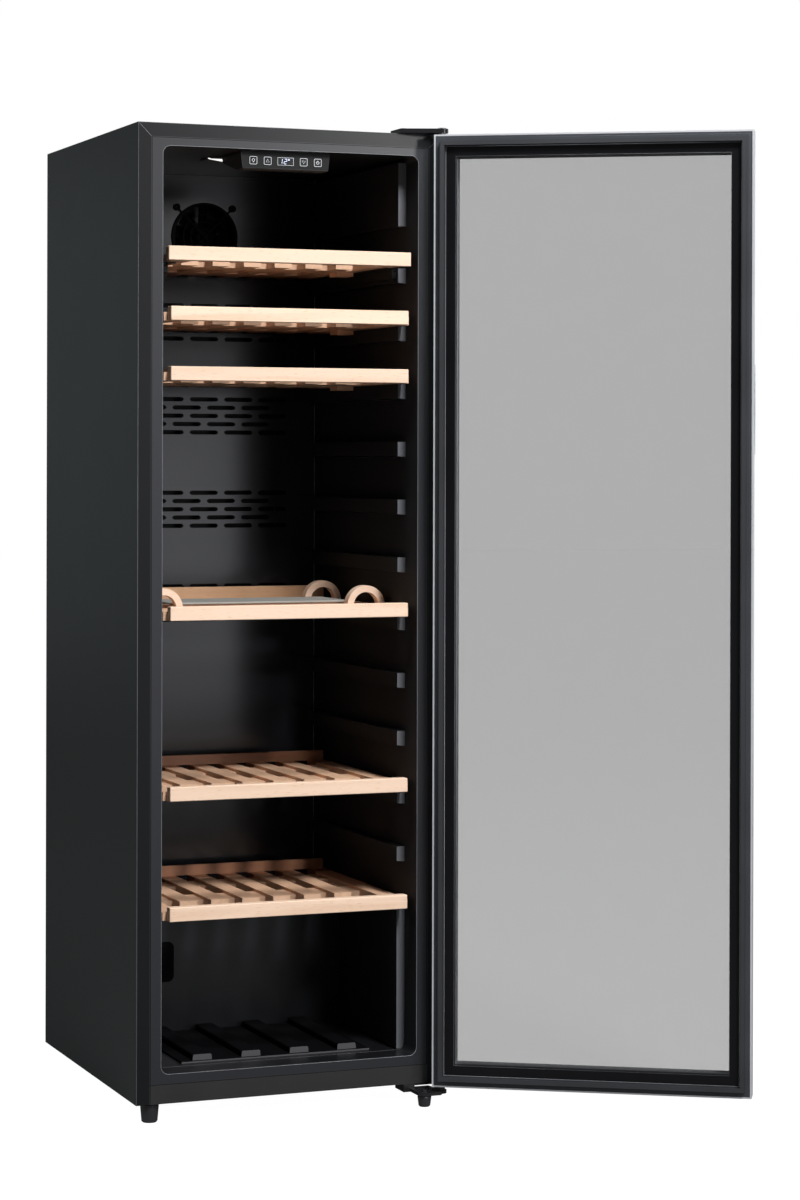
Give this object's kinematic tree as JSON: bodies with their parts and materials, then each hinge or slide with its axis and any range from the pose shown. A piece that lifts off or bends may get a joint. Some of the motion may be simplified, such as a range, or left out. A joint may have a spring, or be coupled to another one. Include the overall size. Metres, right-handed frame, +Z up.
{
  "type": "wine cooler",
  "caption": "Tall free-standing wine cooler with a hinged glass door, wooden pull-out shelves and a ceiling control panel.",
  "frame": {"origin": "on the floor, midway between the two rear feet", "axes": "+X to the right seen from the front, +Y from the door towards the back, +Z up"},
  "size_m": [1.1111, 0.9971, 1.831],
  "materials": {
    "beech": "oiled",
    "board_green": "matt",
    "case_steel": "satin",
    "compressor_paint": "gloss",
    "dark_plastic": "matt",
    "fin_aluminium": "satin",
    "gasket_rubber": "matt",
    "gloss_black": "gloss",
    "lamp_diffuser": "translucent",
    "liner_plastic": "fine-grained matt",
    "stainless": "brushed",
    "tinted_glass": "polished",
    "tray_panel": "matt",
    "zinc_steel": "zinc plated"
  },
  "bodies": {
    "cabinet": {"back_panel": "zinc_steel", "base_pan": "zinc_steel", "bottle_tray": "dark_plastic", "bottom_hinge_bracket": "case_steel", "bottom_rail": "case_steel", "compressor": "compressor_paint", "compressor_cover": "zinc_steel", "compressor_grommets": "gasket_rubber", "condenser": "zinc_steel", "control_board": "board_green", "control_housing": "dark_plastic", "cord_gland": "dark_plastic", "display_window": "gloss_black", "duct_cover": "liner_plastic", "evaporation_tray": "dark_plastic", "evaporator": "case_steel", "fan_frame": "dark_plastic", "front_left_foot": "dark_plastic", "front_right_foot": "dark_plastic", "hinge_pins": "zinc_steel", "hinge_screws": "zinc_steel", "inner_liner": "liner_plastic", "lamp_lens": "lamp_diffuser", "left_side_panel": "case_steel", "rear_feet": "dark_plastic", "return_vent": "dark_plastic", "right_side_panel": "case_steel", "slide_channels": "case_steel", "top_hinge_bracket": "case_steel", "top_panel": "case_steel"},
    "door": {"door_outer_frame": "stainless", "door_inner_frame": "liner_plastic", "glazing_bead": "dark_plastic", "outer_glass": "tinted_glass", "inner_glass": "tinted_glass", "glass_spacer": "fin_aluminium", "door_gasket": "gasket_rubber", "door_handle": "stainless", "door_bushes": "dark_plastic"},
    "fan_rotor": {"fan_rotor": "dark_plastic"},
    "light_button": {"light_button": "gloss_black"},
    "up_button": {"up_button": "gloss_black"},
    "down_button": {"down_button": "gloss_black"},
    "power_button": {"power_button": "gloss_black"},
    "shelf_1": {"shelf_1_boards": "beech", "shelf_1_rack": "beech", "slide_inners": "case_steel"},
    "shelf_2": {"shelf_2_boards": "beech", "shelf_2_rack": "beech"},
    "shelf_3": {"shelf_3_boards": "beech", "shelf_3_rack": "beech"},
    "shelf_4": {"shelf_4_arches": "beech", "shelf_4_boards": "beech", "shelf_4_frame": "beech", "shelf_4_panel": "tray_panel"},
    "shelf_5": {"shelf_5_boards": "beech", "shelf_5_rack": "beech"},
    "shelf_6": {"shelf_6_boards": "beech", "shelf_6_rack": "beech"},
    "slide_middles": {"slide_middles": "case_steel"}
  },
  "joints": [
    {"name": "door_hinge", "type": "hinge", "parent": "cabinet", "child": "door", "pos_m": [0.2855, -0.615, 0.9], "axis": [0, 0, 1], "range_deg": [-148.5, 0]},
    {"name": "fan_spin", "type": "hinge", "parent": "cabinet", "child": "fan_rotor", "pos_m": [0, -0.085, 1.655], "axis": [0, 1, 0], "continuous": true},
    {"name": "light_button_press", "type": "slide", "parent": "cabinet", "child": "light_button", "axis": [0, 1, 0], "range_m": [0, 0.001], "stiffness_N_per_m": 800},
    {"name": "up_button_press", "type": "slide", "parent": "cabinet", "child": "up_button", "axis": [0, 1, 0], "range_m": [0, 0.001], "stiffness_N_per_m": 800},
    {"name": "down_button_press", "type": "slide", "parent": "cabinet", "child": "down_button", "axis": [0, 1, 0], "range_m": [0, 0.001], "stiffness_N_per_m": 800},
    {"name": "power_button_press", "type": "slide", "parent": "cabinet", "child": "power_button", "axis": [0, 1, 0], "range_m": [0, 0.001], "stiffness_N_per_m": 800},
    {"name": "shelf_1_pull", "type": "slide", "parent": "cabinet", "child": "shelf_1", "axis": [0, -1, 0], "range_m": [0, 0.33]},
    {"name": "shelf_2_pull", "type": "slide", "parent": "cabinet", "child": "shelf_2", "axis": [0, -1, 0], "range_m": [0, 0.2]},
    {"name": "shelf_3_pull", "type": "slide", "parent": "cabinet", "child": "shelf_3", "axis": [0, -1, 0], "range_m": [0, 0.2]},
    {"name": "shelf_4_pull", "type": "slide", "parent": "cabinet", "child": "shelf_4", "axis": [0, -1, 0], "range_m": [0, 0.2]},
    {"name": "shelf_5_pull", "type": "slide", "parent": "cabinet", "child": "shelf_5", "axis": [0, -1, 0], "range_m": [0, 0.2]},
    {"name": "shelf_6_pull", "type": "slide", "parent": "cabinet", "child": "shelf_6", "axis": [0, -1, 0], "range_m": [0, 0.2]},
    {"name": "slide_middles_pull", "type": "slide", "parent": "cabinet", "child": "slide_middles", "axis": [0, -1, 0], "range_m": [0, 0.165]}
  ],
  "couplings": [
    {"joint": "slide_middles_pull", "follows": "shelf_1_pull", "ratio": 0.5}
  ]
}
